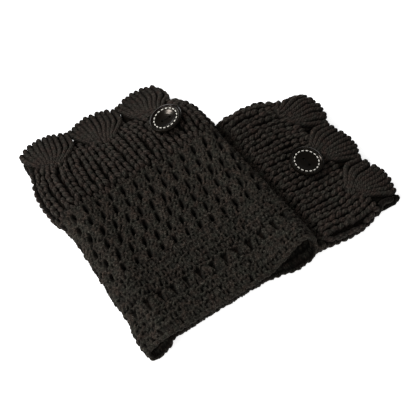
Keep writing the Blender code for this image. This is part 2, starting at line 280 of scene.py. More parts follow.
class Yarn:
    """Collects short lengths of yarn and joins them into one mesh."""

    def __init__(self, cloth):
        self.cloth = cloth
        self.verts, self.faces, self.uvs, self.shade, self.count = [], [], [], [], 0

    def lay(self, share, y, path, radius, sides=8, flat=1.0, mirror=None, turn=None, size=None,
            lobes=3, depth=0.10, twist=0.55, jitter=0.0, drop=None, lit=(-0.8, 2.2), inner=False):
        """Lays one shape at many places.  path is rows of (across, along, height, radius factor); share and y
        are the places; flat is the height of its cross section for its width; twist is the turn of the plies
        for each millimetre; lit is the height at which the painted shade is darkest and the height at which
        the painted highlight is lightest."""
        share = np.atleast_1d(np.asarray(share, float))
        y = np.broadcast_to(np.asarray(y, float), share.shape)
        n = len(share)
        path = np.asarray(path, float)
        if path.ndim == 2:
            path = np.broadcast_to(path, (n,) + path.shape)
        du, dy, h, rf = (path[..., k].copy() for k in range(4))
        if size is not None:
            size = np.broadcast_to(size, (n,))[:, None]
            du, dy, h, rf = du * size, dy * size, h * size, rf * size
        if mirror is not None:
            du = du * np.broadcast_to(mirror, (n,))[:, None]
        if turn is not None:
            a = np.radians(np.broadcast_to(turn, (n,)))[:, None]
            du, dy = du * np.cos(a) - dy * np.sin(a), du * np.sin(a) + dy * np.cos(a)
        if jitter:
            share = share + RNG.normal(0, 0.35 * jitter, n) / 283.0
            y = y + RNG.normal(0, 0.35 * jitter, n)
            a = np.radians(RNG.normal(0, 7 * jitter, n))[:, None]
            du, dy = du * np.cos(a) - dy * np.sin(a), du * np.sin(a) + dy * np.cos(a)
            h = h + RNG.normal(0, 0.16 * jitter, n)[:, None]
            rf = rf * (1 + RNG.normal(0, 0.05 * jitter, n))[:, None]
        if drop is not None:
            h = h - np.broadcast_to(drop, (n,))[:, None]
        yy = y[:, None] + dy
        ss = share[:, None] + du / self.cloth.round_length(yy)
        pts = self.cloth.at(ss, yy, h)
        up = self.cloth.at(ss[:, :1], yy[:, :1], h[:, :1] + 1.0)[:, 0] - pts[:, 0]
        self.sweep(pts, rf * radius * MM, up, sides, flat, lobes, depth, twist,
                   -h if inner else h, lit, -1.0 if inner else 1.0)

    def sweep(self, pts, rad, up, sides, flat, lobes, depth, twist, height, lit, outward):
        n, k, _ = pts.shape
        tan = np.gradient(pts, axis=1)
        tan /= np.maximum(np.linalg.norm(tan, axis=2, keepdims=True), 1e-12)
        nor = np.zeros_like(pts)
        v = up
        for i in range(k):
            v = v - (v * tan[:, i]).sum(1, keepdims=True) * tan[:, i]
            v = v / np.maximum(np.linalg.norm(v, axis=1, keepdims=True), 1e-12)
            nor[:, i] = v
        bi = np.cross(tan, nor)
        run = np.concatenate([np.zeros((n, 1)), np.cumsum(
            np.linalg.norm(np.diff(pts, axis=1), axis=2), axis=1)], 1) / MM
        start = RNG.uniform(0, 2 * np.pi, n)
        ang = np.arange(sides) * 2 * np.pi / sides
        phase = ang[None, None, :] + (start[:, None] + twist * run)[:, :, None]
        r = rad[:, :, None] * (1 + depth * np.cos(lobes * phase))
        ring_pts = (pts[:, :, None, :]
                    + (r * np.cos(ang) * flat)[..., None] * nor[:, :, None, :]
                    + (r * np.sin(ang))[..., None] * bi[:, :, None, :])
        ring_pts[..., 2] = np.maximum(ring_pts[..., 2], 0.0)
        # painted shade: each vertex is painted darker the lower it lies in the clefts and in the grooves
        # between plies, and lighter on the tops
        level = height[:, :, None] + outward * rad[:, :, None] / MM * np.cos(ang) * flat
        shade = ease((level - lit[0]) / (lit[1] - lit[0])) * (0.84 + 0.16 * np.cos(lobes * phase))
        self.shade.append(np.concatenate([shade.reshape(n, k * sides), shade[:, 0].min(1)[:, None],
                                          shade[:, -1].min(1)[:, None]], 1).ravel())
        cap0 = pts[:, 0] - tan[:, 0] * rad[:, :1] * 0.55
        cap1 = pts[:, -1] + tan[:, -1] * rad[:, -1:] * 0.55
        cap0[:, 2], cap1[:, 2] = np.maximum(cap0[:, 2], 0.0), np.maximum(cap1[:, 2], 0.0)
        per = k * sides + 2
        verts = np.concatenate([ring_pts.reshape(n, k * sides, 3), cap0[:, None], cap1[:, None]], 1)
        a = np.arange(sides)
        b = (a + 1) % sides
        quads = np.concatenate([np.stack([i * sides + a, i * sides + b, (i + 1) * sides + b,
                                          (i + 1) * sides + a], 1) for i in range(k - 1)])
        tris = np.concatenate([np.stack([b, a, np.full(sides, k * sides)], 1),
                               np.stack([(k - 1) * sides + a, (k - 1) * sides + b,
                                         np.full(sides, k * sides + 1)], 1)])
        base = self.count + per * np.arange(n)
        self.faces.append((quads[None] + base[:, None, None]).reshape(-1, 4))
        self.faces.append((tris[None] + base[:, None, None]).reshape(-1, 3))
        shift = RNG.uniform(0, 40, n)
        uq = np.stack([np.stack([(a + s) / sides for s in (0, 1, 1, 0)], 1)] * (k - 1))
        vq = run[:, :, None] + shift[:, None, None]
        v_lo, v_hi = vq[:, :-1], vq[:, 1:]
        uv = np.empty((n, k - 1, sides, 4, 2))
        uv[..., 0] = uq[None]
        uv[..., 0:2, 1] = v_lo[..., None]
        uv[..., 2:4, 1] = v_hi[..., None]
        self.uvs.append(uv.reshape(-1, 2))
        tuv = np.empty((n, 2, sides, 3, 2))
        tuv[..., 0] = np.stack([(a + 1) / sides, a / sides, (a + 0.5) / sides], 1)
        tuv[:, 0, :, :, 1] = shift[:, None, None]
        tuv[:, 1, :, :, 1] = (run[:, -1] + shift)[:, None, None]
        self.uvs.append(tuv.reshape(-1, 2))
        self.verts.append(verts.reshape(-1, 3))
        self.count += n * per

    def triangles(self):
        return sum(len(f) * (f.shape[1] - 2) for f in self.faces)

    def build(self, name, mat):
        return make_mesh(name, np.concatenate(self.verts), self.faces, np.concatenate(self.uvs), mat,
                         np.concatenate(self.shade))


class Relief:
    """Fine stitches as the tops of many short strands, read into one closely meshed sheet."""
    CELL = 0.34

    def __init__(self, cloth, y0, y1, floor):
        self.cloth, self.y0, self.y1 = cloth, y0, y1
        self.length = float(cloth.round_length((y0 + y1) / 2))
        self.nx = int(round(self.length / self.CELL))
        self.ny = int(round((y1 - y0) / self.CELL)) + 1
        self.dx = self.length / self.nx
        self.dy = (y1 - y0) / (self.ny - 1)
        self.h = np.full((self.ny, self.nx), float(floor))
        self.tone_and_side_shade = np.full((self.ny, self.nx), 0.5)
        self.open = np.zeros((self.ny, self.nx), bool)

    def lay(self, share, y, path, radius, turn=None, mirror=None, size=None, jitter=0.0, bump=0.0,
            lobes=3, depth=0.12, twist=1.2, flat=1.0):
        share = np.atleast_1d(np.asarray(share, float))
        n = len(share)
        y = np.broadcast_to(np.asarray(y, float), (n,))
        path = smooth_path(path, 2 + int(np.ceil(np.abs(np.diff(np.array(path)[:, :2], axis=0)).sum() / 0.4)))
        du, dy, h, rf = (np.broadcast_to(path[:, k], (n, len(path))).copy() for k in range(4))
        if size is not None:
            du, dy = du * size, dy * size
        if mirror is not None:
            du = du * mirror
        a = np.zeros(n) if turn is None else np.radians(np.broadcast_to(float(turn), (n,)))
        if jitter:
            a = a + np.radians(RNG.normal(0, 7 * jitter, n))
            share = share + RNG.normal(0, 0.35 * jitter, n) / self.length
            y = y + RNG.normal(0, 0.35 * jitter, n)
            h = h + RNG.normal(0, 0.16 * jitter, n)[:, None]
            rf = rf * (1 + RNG.normal(0, 0.06 * jitter, n))[:, None]
        a = a[:, None]
        du, dy = du * np.cos(a) - dy * np.sin(a), du * np.sin(a) + dy * np.cos(a)
        px = (share[:, None] * self.length + du) / self.dx
        py = (y[:, None] + dy - self.y0) / self.dy
        tx, ty = np.gradient(du, axis=1), np.gradient(dy, axis=1)
        size_t = np.maximum(np.hypot(tx, ty), 1e-9)
        tx, ty = tx / size_t, ty / size_t
        run = np.cumsum(size_t, axis=1) + RNG.uniform(0, 9, n)[:, None]
        r = rf * radius
        own = np.broadcast_to(RNG.normal(1.0, 0.10, n)[:, None], r.shape)
        reach = int(np.ceil(float(r.max()) / min(self.dx, self.dy)))
        ix, iy = np.round(px).astype(int), np.round(py).astype(int)
        for i in range(-reach, reach + 1):
            for j in range(-reach, reach + 1):
                gx = (ix + i - px) * self.dx
                gy = (iy + j - py) * self.dy
                d2 = gx * gx + gy * gy
                row = iy + j
                use = (d2 < r * r) & (row >= 0) & (row < self.ny)
                if not use.any():
                    continue
                side = (gx * ty - gy * tx)[use] / r[use]
                along = (run + gx * tx + gy * ty)[use]
                ply = np.cos(lobes * (np.arcsin(np.clip(side, -1, 1)) + twist * along))
                top = h[use] + bump + flat * np.sqrt(r[use] ** 2 - d2[use]) * (1 + depth * ply)
                cell = (row[use], (ix[use] + i) % self.nx)
                np.maximum.at(self.h, cell, top)
                # the strand on top sets the cell's tone: its own random tone, with painted shade towards its
                # sides and in the grooves of its plies
                won = self.h[cell] <= top + 1e-9
                tone_and_side_shade = own[use] * (1.08 - 0.62 * side ** 2) * (0.92 + 0.08 * ply)
                self.tone_and_side_shade[cell[0][won], cell[1][won]] = tone_and_side_shade[won]

    def hole(self, share, y, a, b, slant):
        """Opens slits: a and b are half the width and half the height, in millimetres."""
        c, q = math.cos(math.radians(slant)), math.sin(math.radians(slant))
        reach = int(np.ceil(max(a, b) * 1.2 / self.CELL)) + 1
        ix = np.round(np.atleast_1d(share) * self.length / self.dx).astype(int)
        iy = int(round((y - self.y0) / self.dy))
        for i in range(-reach, reach + 1):
            for j in range(-reach, reach + 1):
                ex, ey = i * self.dx, j * self.dy
                lx, ly = ex * c + ey * q, -ex * q + ey * c
                if (lx / a) ** 2 + (abs(ly) / b) ** 1.7 < 1 and 0 <= iy + j < self.ny:
                    self.open[iy + j, (ix + i) % self.nx] = True

    def build(self, name, mat, shares, step, lit, fuzz=0.09, flip=False, deep=-1.5, tuck=None):
        """shares are the columns' places; step is the rows' distance; flip meshes the
        inner face; tuck is the height along the tube where it slips under its neighbour."""
        noise = RNG.normal(0, 1, self.h.shape)
        noise = sum(np.roll(np.roll(noise, i, 1), j, 0) for i in (-1, 0, 1) for j in (-1, 0, 1)) / 3.0
        h = self.h + fuzz * noise
        h = np.where(self.open, deep, h)
        ys = np.linspace(self.y0, self.y1, int(round((self.y1 - self.y0) / step)) + 1)
        fx = np.mod(shares, 1.0) * self.nx
        fy = np.clip((ys - self.y0) / self.dy, 0, self.ny - 1.001)
        ix, iy = fx.astype(int) % self.nx, fy.astype(int)
        wx, wy = (fx - np.floor(fx))[None, :], (fy - iy)[:, None]
        i1 = (ix + 1) % self.nx
        read = lambda g: ((g[iy][:, ix] * (1 - wx) + g[iy][:, i1] * wx) * (1 - wy)
                          + (g[iy + 1][:, ix] * (1 - wx) + g[iy + 1][:, i1] * wx) * wy)
        hh = read(h)
        if tuck is not None:
            hh = hh - 1.5 * ease(1.0 - np.abs(ys - tuck) / 1.3)[:, None]
        hollow = read(self.open.astype(float)) > 0.55
        k, n = hh.shape
        verts = self.cloth.at(shares[None, :], ys[:, None], -hh if flip else hh).reshape(-1, 3)
        verts[:, 2] = np.maximum(verts[:, 2], 0.0)
        a = np.arange(n)
        b = (a + 1) % n
        quads = np.concatenate([np.stack([i * n + a, i * n + b, (i + 1) * n + b, (i + 1) * n + a], 1)
                                for i in range(k - 1)])
        quads = quads[~hollow.reshape(-1)[quads].all(1)]
        used = np.unique(quads)
        renumber = np.full(len(verts), -1)
        renumber[used] = np.arange(len(used))
        if flip:
            quads = quads[:, ::-1]
        col = quads % n
        col = np.where(((col.max(1) - col.min(1)) > n / 2)[:, None] & (col == 0), n, col)
        places = np.append(shares, shares[0] + 1.0)
        uv = np.stack([places[col] * self.length / 9.0, ys[quads // n]], -1).reshape(-1, 2)
        # painted shade: darker low in the clefts, towards each strand's sides and in its ply grooves, lighter
        # on the tops
        shade = (ease((hh - lit[0]) / (lit[1] - lit[0])) * read(self.tone_and_side_shade)).reshape(-1)
        self.faces = len(quads) * 2
        return make_mesh(name, verts[used], [renumber[quads]], uv, mat, shade[used])


def make_mesh(name, verts, faces, uvs, mat, shade=None):
    """One mesh from arrays: faces is a list of index arrays of 3 or 4 columns; shade is the painted shade of
    each vertex, set by how far it stands out of the stitches, from 0 in a cleft to 1 on top."""
    mesh = bpy.data.meshes.new(name)
    mesh.vertices.add(len(verts))
    mesh.vertices.foreach_set("co", verts.astype(np.float32).ravel())
    loops = np.concatenate([f.ravel() for f in faces])
    sizes = np.concatenate([np.full(len(f), f.shape[1]) for f in faces])
    mesh.loops.add(len(loops))
    mesh.loops.foreach_set("vertex_index", loops.astype(np.int32))
    mesh.polygons.add(len(sizes))
    starts = np.concatenate([[0], np.cumsum(sizes)[:-1]])
    mesh.polygons.foreach_set("loop_start", starts.astype(np.int32))
    mesh.update(calc_edges=True)
    if uvs is not None:
        layer = mesh.uv_layers.new(name="UVMap")
        layer.data.foreach_set("uv", uvs.astype(np.float32).ravel())
    if shade is not None:
        painted_shade = mesh.attributes.new("painted_shade", "FLOAT", "POINT")
        painted_shade.data.foreach_set("value", shade.astype(np.float32))
    mesh.shade_smooth()
    mesh.materials.append(mat)
    mesh.validate()
    ob = bpy.data.objects.new(name, mesh)
    bpy.context.scene.collection.objects.link(ob)
    return ob


# ------------------------------------------------------------------ materials
def node(tree, kind, **inputs):
    n = tree.nodes.new(kind)
    for key, value in inputs.items():
        n.inputs[key.replace("_", " ")].default_value = value
    return n


def yarn_material(name, dark, light, speck, speck_share, sheen, fibre, ply, painted_shade_ramp):
    """Wool: a heathered colour, stray pale fibres, twisted plies with painted shade in their grooves and fine
    fibre relief; given a ramp, also painted shade in the clefts and painted highlights on the tops, read from
    a vertex attribute.
    """
    m = bpy.data.materials.new(name)
    m.use_nodes = True
    t = m.node_tree
    link = t.links.new
    bsdf = t.nodes["Principled BSDF"]
    bsdf.inputs["Sheen Weight"].default_value = sheen
    bsdf.inputs["Sheen Roughness"].default_value = 0.45
    bsdf.inputs["Sheen Tint"].default_value = (0.85, 0.72, 0.60, 1.0)
    bsdf.inputs["Specular IOR Level"].default_value = 0.06 if painted_shade_ramp else 0.0
    coord = t.nodes.new("ShaderNodeTexCoord")

    def noise(scale, detail, source, stretch=None):
        src = coord.outputs[source]
        if stretch:
            mp = t.nodes.new("ShaderNodeMapping")
            mp.inputs["Scale"].default_value = stretch
            link(src, mp.inputs["Vector"])
            src = mp.outputs["Vector"]
        n = t.nodes.new("ShaderNodeTexNoise")
        n.inputs["Scale"].default_value = scale
        n.inputs["Detail"].default_value = detail
        n.inputs["Roughness"].default_value = 0.6
        link(src, n.inputs["Vector"])
        return n.outputs["Fac"]

    def ramp(src, stops):
        r = t.nodes.new("ShaderNodeValToRGB")
        e = r.color_ramp.elements
        e[0].position, e[0].color = stops[0][0], (*stops[0][1], 1)
        e[1].position, e[1].color = stops[-1][0], (*stops[-1][1], 1)
        for pos, col in stops[1:-1]:
            new = e.new(pos)
            new.color = (*col, 1)
        link(src, r.inputs["Fac"])
        return r.outputs["Color"]

    def math_node(operation, a, b):
        n = t.nodes.new("ShaderNodeMath")
        n.operation = operation
        for k, value in enumerate((a, b)):
            if value is None:
                continue
            if isinstance(value, (int, float)):
                n.inputs[k].default_value = value
            else:
                link(value, n.inputs[k])
        return n.outputs["Value"]

    def times(a, b):
        mix = t.nodes.new("ShaderNodeMix")
        mix.data_type, mix.blend_type = "RGBA", "MULTIPLY"
        mix.inputs["Factor"].default_value = 1.0
        link(a, mix.inputs["A"])
        link(b, mix.inputs["B"])
        return mix.outputs["Result"]

    def bump(height, strength, distance, normal=None):
        b = t.nodes.new("ShaderNodeBump")
        b.inputs["Strength"].default_value = strength
        b.inputs["Distance"].default_value = distance
        link(height, b.inputs["Height"])
        if normal is not None:
            link(normal, b.inputs["Normal"])
        return b.outputs["Normal"]

    colour = ramp(noise(620.0, 3.0, "Object"), [(0.36, dark), (0.64, light)])
    colour = times(colour, ramp(noise(190.0, 2.0, "Object"),
                                [(0.34, (0.86, 1.00, 0.98)), (0.50, (1.0, 1.0, 1.0)),
                                 (0.66, (1.16, 0.98, 0.96))]))
    strand = noise(1.0, 2.0, "UV", (9.0, 0.9, 1.0))
    colour = times(colour, ramp(strand, [(0.40, (0.60, 0.60, 0.60)), (0.62, (1.35, 1.32, 1.28))]))
    specks = ramp(noise(1300.0, 1.0, "Object"),
                  [(1.0 - speck_share, (0, 0, 0)), (1.0 - speck_share + 0.07, (1, 1, 1))])
    over = t.nodes.new("ShaderNodeMix")
    over.data_type = "RGBA"
    over.inputs["B"].default_value = (*speck, 1)
    link(specks, over.inputs["Factor"])
    link(colour, over.inputs["A"])
    colour = over.outputs["Result"]
    normal = bump(noise(1900.0, 2.0, "Object"), fibre, 0.0004)
    normal = bump(noise(1.0, 3.0, "UV", (14.0, 1.3, 1.0)), 0.7, 0.0005, normal)
    # painted shade in the grooves between the plies, with a matching bump
    if ply:
        parts = t.nodes.new("ShaderNodeSeparateXYZ")
        link(coord.outputs["UV"], parts.inputs["Vector"])
        angle = math_node("ADD", math_node("MULTIPLY", parts.outputs["X"], 5.0 * 2 * math.pi),
                          math_node("MULTIPLY", parts.outputs["Y"], ply))
        wave = math_node("ADD", math_node("MULTIPLY", math_node("SINE", angle, None), 0.5), 0.5)
        colour = times(colour, ramp(wave, [(0.0, (0.56, 0.56, 0.56)), (0.5, (1.0, 1.0, 1.0)),
                                           (1.0, (1.20, 1.19, 1.18))]))
        normal = bump(wave, 0.8, 0.0004, normal)
    # painted shade in the clefts and painted highlight on the tops, read from the vertex attribute
    if painted_shade_ramp:
        own = t.nodes.new("ShaderNodeAttribute")
        own.attribute_name = "painted_shade"
        colour = times(colour, ramp(own.outputs["Fac"], painted_shade_ramp))
    link(colour, bsdf.inputs["Base Color"])
    rough = t.nodes.new("ShaderNodeMapRange")
    rough.inputs["To Min"].default_value = 0.62
    rough.inputs["To Max"].default_value = 0.92
    link(strand, rough.inputs["Value"])
    link(rough.outputs["Result"], bsdf.inputs["Roughness"])
    link(normal, bsdf.inputs["Normal"])
    return m


# painted shade and highlight: dark in the clefts, lighter than the yarn's own colour on the tops
PAINTED_CLEFT_SHADE = [(0.0, (0.18, 0.18, 0.18)), (0.45, (0.52, 0.52, 0.52)), (1.0, (1.42, 1.40, 1.38))]
YARN_BAND = yarn_material("yarn_band", (0.0130, 0.0106, 0.0089), (0.0368, 0.0310, 0.0263),
                          (0.082, 0.073, 0.064), 0.32, 0.04, 0.35, 2.4, PAINTED_CLEFT_SHADE)
YARN_MESH = yarn_material("yarn_openwork", (0.0096, 0.0081, 0.0064), (0.0302, 0.0261, 0.0209),
                          (0.064, 0.057, 0.048), 0.38, 0.04, 0.5, 0.0, PAINTED_CLEFT_SHADE)
YARN_HEM = yarn_material("yarn_hem", (0.0090, 0.0078, 0.0062), (0.0285, 0.0250, 0.0202),
                         (0.064, 0.058, 0.049), 0.38, 0.04, 0.5, 0.0, PAINTED_CLEFT_SHADE)
# a darker copy of the yarn for the core sheets: painted shade in the gaps between stitches and through the
# holes
CORE_YARN_PAINTED_SHADE = yarn_material("yarn_core_painted_shade", (0.0035, 0.0029, 0.0024), (0.0090, 0.0076, 0.0063),
                          (0.010, 0.009, 0.008), 0.33, 0.01, 0.6, 0.0, None)


# ------------------------------------------------------------------ the cloth's core sheets
# the walls take the darker core yarn by default: painted shade between the stitches
def sheet_tube(name, cloth, ys, inner, outer, shares=None, lift=None, mat=CORE_YARN_PAINTED_SHADE):
    """A closed thin wall between two heights, all round the tube.  ys is a list of rows,
    each a number or an array over the shares."""
    shares = np.arange(168) / 168 if shares is None else shares
    n = len(shares)
    rows = []
    for y in ys:
        y = np.broadcast_to(np.asarray(y, float), (n,))
        bump = 0.0 if lift is None else lift(shares, y)
        rows.append((cloth.at(shares, y, outer + bump), cloth.at(shares, y, np.full(n, inner))))
    out = np.array([r[0] for r in rows])
    inn = np.array([r[1] for r in rows])
    k = len(rows)
    a = np.arange(n)
    b = (a + 1) % n
    faces = []
    for i in range(k - 1):
        faces.append(np.stack([i * n + a, (i + 1) * n + a, (i + 1) * n + b, i * n + b], 1))
        faces.append(np.stack([i * n + a, i * n + b, (i + 1) * n + b, (i + 1) * n + a], 1) + k * n)
    faces.append(np.stack([a, b, b + k * n, a + k * n], 1))
    last = (k - 1) * n
    faces.append(np.stack([last + a, last + a + k * n, last + b + k * n, last + b], 1))
    verts = np.concatenate([out.reshape(-1, 3), inn.reshape(-1, 3)])
    faces = np.concatenate(faces)[:, ::-1]
    col = faces % n
    row = (faces // n) % k
    wrap = (col.max(1) - col.min(1)) > n / 2
    col = np.where(wrap[:, None] & (col == 0), n, col)
    length = cloth.round_length(100.0)
    ym = np.array([np.mean(y) for y in ys])
    uv = np.stack([col / n * length / 9.0, ym[row]], -1).reshape(-1, 2)
    return make_mesh(name, verts, [faces], uv, mat)


HOLE_ROWS = (
    # y of the hole's middle, place of the holes in a repeat
    (118.0, 0.33), (106.5, 0.02), (95.5, 0.31), (83.0, 0.04), (71.5, 0.31), (60.5, 0.10),
)
HOLES = 28
HOLE_SLANT = -10.0
RIDGES = (124.0, 112.2, 101.0, 89.2, 77.2, 66.0)


def openwork_sheet(name, cloth, inner, outer):
    """A thin wall with a slit hole in each cell, meshed as rings round each hole."""
    mids = [r[0] for r in HOLE_ROWS]
    bounds = [BAND_BASE] + [(a + b) / 2 for a, b in zip(mids[:-1], mids[1:])] + [HEM_TOP]
    side = 4
    verts, faces, uvs = [], [], []
    index = {}
    length = float(cloth.round_length(90.0))

    def vert(s, y, h):
        key = (round((s % 1.0) * 1e6) % 1000000, round(y * 1000), round(h * 1000))
        if key not in index:
            index[key] = len(verts)
            verts.append((s, y, h))
        return index[key]

    for (mid, place), top, low in zip(HOLE_ROWS, bounds[:-1], bounds[1:]):
        for j in range(HOLES):
            s0, s1 = (j - 0.35) / HOLES, (j + 0.65) / HOLES
            corner = [(s0, low), (s1, low), (s1, top), (s0, top)]
            rim = []
            for c in range(4):
                (sa, ya), (sb, yb) = corner[c], corner[(c + 1) % 4]
                rim += [(sa + (sb - sa) * q / side, ya + (yb - ya) * q / side) for q in range(side)]
            cs, cy = (j + place - 0.0) / HOLES, mid
            rings = []
            for share_in in (0.0, 0.45, 1.0):
                pts = []
                for q, (s, y) in enumerate(rim):
                    ang = math.atan2((y - (low + top) / 2) / (top - low), (s - (s0 + s1) / 2) * HOLES)
                    wide = 1.0 if (cs % 1.0) < 0.5 else 0.6
                    hx = 1.35 * wide * math.cos(ang)
                    hy = 2.5 * wide * math.sin(ang)
                    slant = math.radians(HOLE_SLANT)
                    ex = hx * math.cos(slant) - hy * math.sin(slant)
                    ey = hx * math.sin(slant) + hy * math.cos(slant)
                    es, eyy = cs + ex / length, cy + ey
                    pts.append((es + (s - es) * share_in, eyy + (y - eyy) * share_in))
                rings.append(pts)
            count = len(rim)
            for h, flip in ((outer, False), (inner, True)):
                ids = [[vert(s, y, h) for s, y in pts] for pts in rings]
                for r in range(len(rings) - 1):
                    for q in range(count):
                        w = (q + 1) % count
                        f = (ids[r][q], ids[r + 1][q], ids[r + 1][w], ids[r][w])
                        p = (rings[r][q], rings[r + 1][q], rings[r + 1][w], rings[r][w])
                        if not flip:
                            f, p = f[::-1], p[::-1]
                        faces.append(f)
                        uvs.extend([(s * length / 9.0, y) for s, y in p])
            for q in range(count):
                w = (q + 1) % count
                p = (rings[0][q], rings[0][w], rings[0][w], rings[0][q])
                f = (vert(*p[0], outer), vert(*p[1], outer), vert(*p[2], inner), vert(*p[3], inner))
                faces.append(f[::-1])
                uvs.extend([(s * length / 9.0, y) for s, y in p[::-1]])
    # close both ends
    for y, forward in ((bounds[0], True), (bounds[-1], False)):
        for j in range(HOLES):
            for q in range(side):
                sa = (j - 0.35 + q / side) / HOLES
                sb = (j - 0.35 + (q + 1) / side) / HOLES
                f = (vert(sa, y, outer), vert(sb, y, outer), vert(sb, y, inner), vert(sa, y, inner))
                faces.append(f if forward else f[::-1])
                uvs.extend([(sa * length / 9.0, y), (sb * length / 9.0, y)] * 2)
    v = np.array(verts)
    world = cloth.at(v[:, 0], v[:, 1], v[:, 2])
    # the wall takes the darker core yarn: painted shade seen through the holes
    return make_mesh(name, world, [np.array(faces)], np.array(uvs), CORE_YARN_PAINTED_SHADE)


# ------------------------------------------------------------------ stitches
RIBS = 30
RIB_PLACE = 0.95
RIB_PITCH = 5.5
STRANDS = 10


def gather_share(cuff, fan):
    """Where a fan's strands are gathered, as a share round the tube."""
    place = 0.42 if cuff["hand"] > 0 else 0.58
    return cuff["fan_turn"] + (fan + place) / FANS


def fan_floor(cuff, share):
    """Line along which the ribs pass under the fans: low at a gather, high at a valley."""
    phase = np.mod(FANS * (share - cuff["fan_turn"]), 1.0)
    if cuff["hand"] < 0:
        phase = 1.0 - phase
    away = np.where(phase < 0.42, 1.0 - phase / 0.42, (phase - 0.42) / 0.58)
    return 170.0 + 12.5 * away ** 0.85


def band_stitches(side):
    cloth, cuff = CLOTH[side], CUFFS[side]
    hand = cuff["hand"]
    yarn = Yarn(cloth)
    # ribs: each course is a pair of slanted legs whose upper ends lean together; the lower
    # end of each leg stands proud of the next one
    leg = [(1.45, 3.1, -1.8, 0.60), (1.70, 2.2, 0.15, 0.90), (2.05, 0.7, 1.05, 1.05),
           (2.40, -0.9, 1.15, 1.08), (2.62, -2.2, 0.25, 0.93), (2.66, -2.9, -1.8, 0.60)]
    rib = (np.arange(RIBS) + RIB_PLACE) / RIBS
    above = np.mod(rib, 1.0) < 0.5
    sway = RNG.uniform(0, 2 * np.pi, RIBS)
    for layer, steps, sides in ((above, 12, 12), (~above, 8, 8)):
        path = smooth_path(leg, steps)
        for j in range(11):
            y = 131.2 + RIB_PITCH * j
            place = (rib + 0.45 * np.sin(sway + 0.55 * j) / 283.0)[layer]
            floor = fan_floor(cuff, place)
            for m in (-1.0, 1.0):
                yy = y + m * 0.45
                keep = yy + 1.0 < floor
                if keep.any():
                    drop = 1.5 * ease((yy + 7.0 - floor[keep]) / 8.0)
                    size = (1.06 if j == 0 else 1.0) * RNG.normal(1.0, 0.045, keep.sum())
                    # painted shade: only the tops of the legs are painted light
                    yarn.lay(place[keep], yy, path, 1.88, sides=sides, mirror=m, depth=0.06,
                             lobes=4, jitter=1.0, drop=drop, size=size, lit=(0.25, 2.8))
    # the row that joins the band to the openwork: open loops
    loop = smooth_path([(0.6, -3.8, -1.6, 0.6), (1.3, -1.8, 0.6, 0.95), (1.9, 0.4, 1.0, 1.0),
                        (2.1, 2.4, 0.2, 0.85), (1.9, 3.6, -1.2, 0.6)], 10)
    for m in (-1.0, 1.0):
        yarn.lay(rib + 0.20 / RIBS, 126.4, loop, 1.62, sides=10, mirror=m, depth=0.06, jitter=1.2)
        yarn.lay(rib - 0.30 / RIBS, 124.6, loop, 1.30, sides=8, mirror=-m, depth=0.06, jitter=1.5,
                 size=0.85)
    # fans: strands spread from a gather, turn up and end in loops at the edge
    length = float(cloth.round_length(190.0))
    for fan in range(FANS):
        s0 = cuff["fan_turn"] + fan / FANS
        g = gather_share(cuff, fan)
        top = np.mod(g, 1.0) < 0.5
        for k in range(STRANDS):
            # k counts from the straight side of the fan to its curved side
            t = (k + 0.5) / STRANDS
            se = s0 + (t if hand > 0 else 1 - t) / FANS
            ye = float(fan_edge(cuff, np.array([se]))[0]) + 0.35 * (-1) ** k
            if not top:
                # the notch between two fans is deeper underneath
                ye -= 10.0 * max(0.0, 1.0 - min(t, 1.0 - t) * length / FANS / 5.5)
            across = (se - g) * length * hand
            a = -8.6 + 15.6 * t
            y0 = 176.0 - 6.2 * t ** 1.3
            high = ye - y0
            bow = 0.10 + 0.34 * max(0.0, (t - 0.35) / 0.65) ** 1.2
            rise = 0.25 + 1.25 * t ** 1.5
            reach = across - a
            pts = [(a - 0.05 * reach, y0 - 3.0, -1.0 + 0.5 * rise, 0.62),
                   (a + (0.10 + 0.25 * bow) * reach, y0 + 0.04 * high, 0.35 + rise, 0.76),
                   (a + (0.34 + 0.55 * bow) * reach, y0 + 0.22 * high, 0.60 + rise, 0.88),
                   (a + (0.58 + 0.80 * bow) * reach, y0 + 0.42 * high, 0.50 + 0.7 * rise, 0.97),
                   (a + (0.82 + 0.44 * bow) * reach, y0 + 0.62 * high, 0.42 + 0.3 * rise, 1.04),
                   (across, ye - 5.6, 0.25, 1.05),
                   (across, ye - 2.6, 0.15, 1.05),
                   (across, ye - 1.3, -0.05, 0.88),
                   (across, ye - 0.5, -0.30, 0.50)]
            path = smooth_path(pts, 33 if top else 18)
            run = np.concatenate([[0.0], np.cumsum(np.hypot(*np.diff(path[:, :2], axis=0).T))])
            knob = np.cos(2 * np.pi * (run - run[-1] + 2.4 + 2.1 * (k % 2)) / 4.4)
            path[:, 3] *= 1.0 + 0.06 * knob
            path[:, 2] += 0.14 * knob
            path[:, 0] *= hand
            path[:, 1] -= 175.0
            # painted shade: the strands are painted light only near their tops
            yarn.lay([g], 175.0, path, 2.16, sides=12 if top else 8, depth=0.06, lobes=4,
                     jitter=0.16, lit=(0.5, 3.25))
            # the inner face shows the same strands
            back = path[:-4:3].copy()
            back[:, 2] = -1.25
            yarn.lay([g], 175.0, smooth_path(back, 9), 2.15, sides=7, flat=0.68, depth=0.05,
                     jitter=0.12, lit=(-0.6, 2.4), inner=True)
        # the gather: short thick loops that the strands come out of
        for dx, dy, ang, hh in ((-6.6, 1.9, 14, 0.1), (-3.2, 0.4, 22, 0.3), (0.4, -1.0, -8, 0.6),
                                (3.6, -2.2, -36, 0.7), (6.2, -1.4, -58, 0.5)):
            knot = smooth_path([(0, -3.4, -1.0, 0.6), (0.2, -1.4, 0.5, 1.0), (0.2, 1.2, 0.6, 1.0),
                                (0, 3.2, -0.9, 0.6)], 10)
            yarn.lay([g + dx * hand / length], 172.0 + dy, knot, 1.75, sides=10, turn=ang * hand,
                     depth=0.05, jitter=0.5, drop=-hh)
    return yarn


